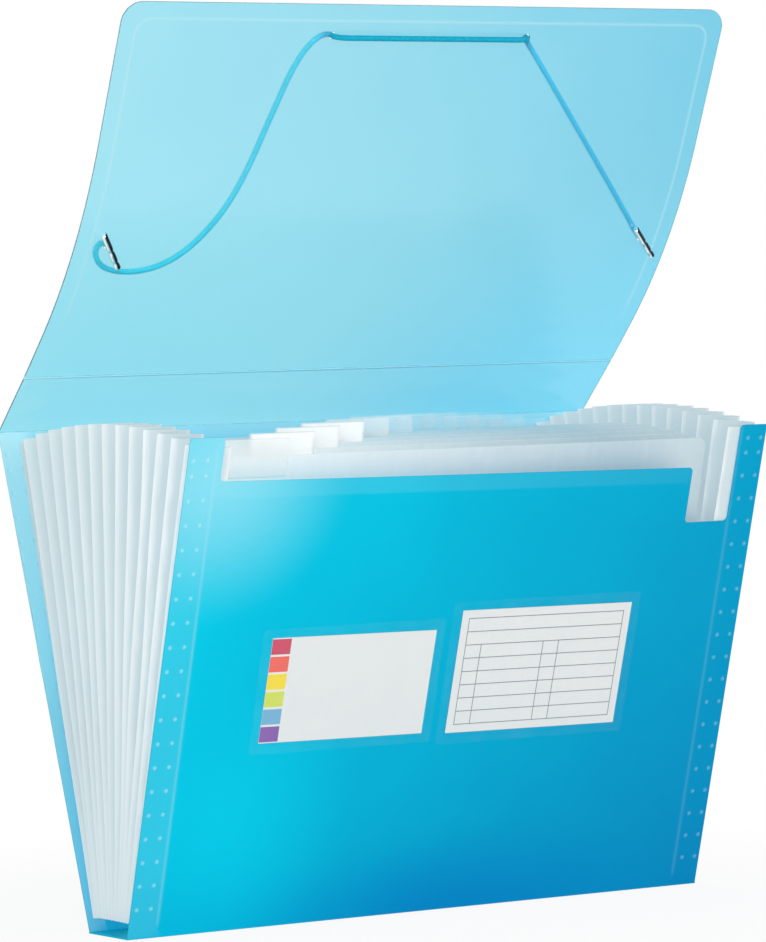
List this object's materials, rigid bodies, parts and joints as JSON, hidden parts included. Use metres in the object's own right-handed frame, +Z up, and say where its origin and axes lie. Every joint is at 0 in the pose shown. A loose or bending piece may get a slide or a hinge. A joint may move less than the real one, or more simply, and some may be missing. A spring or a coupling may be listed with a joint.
{
  "type": "accordion file folder",
  "caption": "Translucent blue accordion file folder standing with its fan part open, with white pleated sides, stepped index tabs, two label cards and a raised flap with an elastic cord.",
  "frame": {"origin": "middle of the base strip's underside, on the surface that the folder stands on", "axes": "+Z up, +X to the right as seen from the front, +Y from the front panel to the back panel"},
  "size_m": [0.33, 0.1624, 0.4188],
  "materials": {
    "cover_blue": "translucent, satin",
    "divider_white": "translucent, satin",
    "gusset_white": "translucent, satin",
    "tab_clear": "clear, glossy",
    "label_white": "matte",
    "card_grey": "matte",
    "cord_blue": "braided, matte",
    "barb_metal": "polished"
  },
  "bodies": {
    "base": {"base_strip": "cover_blue", "left_gusset": "gusset_white", "right_gusset": "gusset_white"},
    "back": {"back_panel": "cover_blue"},
    "front": {"front_panel": "cover_blue", "left_sleeve": "tab_clear", "right_sleeve": "tab_clear"},
    "divider_01": {"divider_01": "divider_white", "index_tab_01": "tab_clear"},
    "divider_02": {"divider_02": "divider_white", "index_tab_02": "tab_clear"},
    "divider_03": {"divider_03": "divider_white", "index_tab_03": "tab_clear"},
    "divider_04": {"divider_04": "divider_white", "index_tab_04": "tab_clear"},
    "divider_05": {"divider_05": "divider_white", "index_tab_05": "tab_clear"},
    "divider_06": {"divider_06": "divider_white", "index_tab_06": "tab_clear"},
    "divider_07": {"divider_07": "divider_white", "index_tab_07": "tab_clear"},
    "divider_08": {"divider_08": "divider_white", "index_tab_08": "tab_clear"},
    "divider_09": {"divider_09": "divider_white", "index_tab_09": "tab_clear"},
    "divider_10": {"divider_10": "divider_white", "index_tab_10": "tab_clear"},
    "divider_11": {"divider_11": "divider_white", "index_tab_11": "tab_clear"},
    "divider_12": {"divider_12": "divider_white", "index_tab_12": "tab_clear"},
    "top_strip": {"top_strip": "cover_blue"},
    "flap": {"flap": "cover_blue", "elastic_cord": "cord_blue", "left_barb": "barb_metal", "right_barb": "barb_metal"},
    "left_card": {"left_card": "card_grey"},
    "right_card": {"right_card": "card_grey"},
    "tab_label_02": {"tab_label_02": "label_white"},
    "tab_label_03": {"tab_label_03": "label_white"},
    "tab_label_04": {"tab_label_04": "label_white"}
  },
  "joints": [
    {"name": "fan_open", "type": "hinge", "parent": "base", "child": "back", "pos_m": [0, 0.016, 0.0004], "axis": [-1, 0, 0], "range_deg": [-16, 6], "deforming": ["left_gusset", "right_gusset"]},
    {"name": "front_swing", "type": "hinge", "parent": "base", "child": "front", "pos_m": [0, -0.016, 0.0004], "axis": [1, 0, 0], "range_deg": [-16, 6]},
    {"name": "divider_01_swing", "type": "hinge", "parent": "base", "child": "divider_01", "pos_m": [0, -0.01354, 0.00135], "axis": [1, 0, 0], "range_deg": [-13.54, 5.08]},
    {"name": "divider_02_swing", "type": "hinge", "parent": "base", "child": "divider_02", "pos_m": [0, -0.01108, 0.00135], "axis": [1, 0, 0], "range_deg": [-11.08, 4.15]},
    {"name": "divider_03_swing", "type": "hinge", "parent": "base", "child": "divider_03", "pos_m": [0, -0.00861, 0.00135], "axis": [1, 0, 0], "range_deg": [-8.62, 3.23]},
    {"name": "divider_04_swing", "type": "hinge", "parent": "base", "child": "divider_04", "pos_m": [0, -0.00615, 0.00135], "axis": [1, 0, 0], "range_deg": [-6.15, 2.31]},
    {"name": "divider_05_swing", "type": "hinge", "parent": "base", "child": "divider_05", "pos_m": [0, -0.00369, 0.00135], "axis": [1, 0, 0], "range_deg": [-3.69, 1.39]},
    {"name": "divider_06_swing", "type": "hinge", "parent": "base", "child": "divider_06", "pos_m": [0, -0.00123, 0.00135], "axis": [1, 0, 0], "range_deg": [-1.23, 0.46]},
    {"name": "divider_07_swing", "type": "hinge", "parent": "base", "child": "divider_07", "pos_m": [0, 0.00123, 0.00135], "axis": [1, 0, 0], "range_deg": [-0.46, 1.23]},
    {"name": "divider_08_swing", "type": "hinge", "parent": "base", "child": "divider_08", "pos_m": [0, 0.00369, 0.00135], "axis": [1, 0, 0], "range_deg": [-1.39, 3.69]},
    {"name": "divider_09_swing", "type": "hinge", "parent": "base", "child": "divider_09", "pos_m": [0, 0.00615, 0.00135], "axis": [1, 0, 0], "range_deg": [-2.31, 6.15]},
    {"name": "divider_10_swing", "type": "hinge", "parent": "base", "child": "divider_10", "pos_m": [0, 0.00861, 0.00135], "axis": [1, 0, 0], "range_deg": [-3.23, 8.62]},
    {"name": "divider_11_swing", "type": "hinge", "parent": "base", "child": "divider_11", "pos_m": [0, 0.01108, 0.00135], "axis": [1, 0, 0], "range_deg": [-4.15, 11.08]},
    {"name": "divider_12_swing", "type": "hinge", "parent": "base", "child": "divider_12", "pos_m": [0, 0.01354, 0.00135], "axis": [1, 0, 0], "range_deg": [-5.08, 13.54]},
    {"name": "strip_fold", "type": "hinge", "parent": "back", "child": "top_strip", "pos_m": [0, 0.08077, 0.2263], "axis": [1, 0, 0], "range_deg": [-135, 27]},
    {"name": "flap_fold", "type": "hinge", "parent": "top_strip", "child": "flap", "pos_m": [0, 0.05532, 0.25175], "axis": [1, 0, 0], "range_deg": [-30, 20]},
    {"name": "left_card_slide", "type": "slide", "parent": "front", "child": "left_card", "axis": [0, -0.2756, 0.9613], "range_m": [0, 0.045]},
    {"name": "right_card_slide", "type": "slide", "parent": "front", "child": "right_card", "axis": [0, -0.2756, 0.9613], "range_m": [0, 0.05]},
    {"name": "tab_label_02_slide", "type": "slide", "parent": "divider_02", "child": "tab_label_02", "axis": [1, 0, 0], "range_m": [0, 0.024]},
    {"name": "tab_label_03_slide", "type": "slide", "parent": "divider_03", "child": "tab_label_03", "axis": [1, 0, 0], "range_m": [0, 0.024]},
    {"name": "tab_label_04_slide", "type": "slide", "parent": "divider_04", "child": "tab_label_04", "axis": [1, 0, 0], "range_m": [0, 0.024]}
  ],
  "couplings": [
    {"joint": "front_swing", "follows": "fan_open", "ratio": 1},
    {"joint": "divider_01_swing", "follows": "fan_open", "ratio": 0.84615},
    {"joint": "divider_02_swing", "follows": "fan_open", "ratio": 0.69231},
    {"joint": "divider_03_swing", "follows": "fan_open", "ratio": 0.53846},
    {"joint": "divider_04_swing", "follows": "fan_open", "ratio": 0.38462},
    {"joint": "divider_05_swing", "follows": "fan_open", "ratio": 0.23077},
    {"joint": "divider_06_swing", "follows": "fan_open", "ratio": 0.076923},
    {"joint": "divider_07_swing", "follows": "fan_open", "ratio": -0.076923},
    {"joint": "divider_08_swing", "follows": "fan_open", "ratio": -0.23077},
    {"joint": "divider_09_swing", "follows": "fan_open", "ratio": -0.38462},
    {"joint": "divider_10_swing", "follows": "fan_open", "ratio": -0.53846},
    {"joint": "divider_11_swing", "follows": "fan_open", "ratio": -0.69231},
    {"joint": "divider_12_swing", "follows": "fan_open", "ratio": -0.84615}
  ]
}
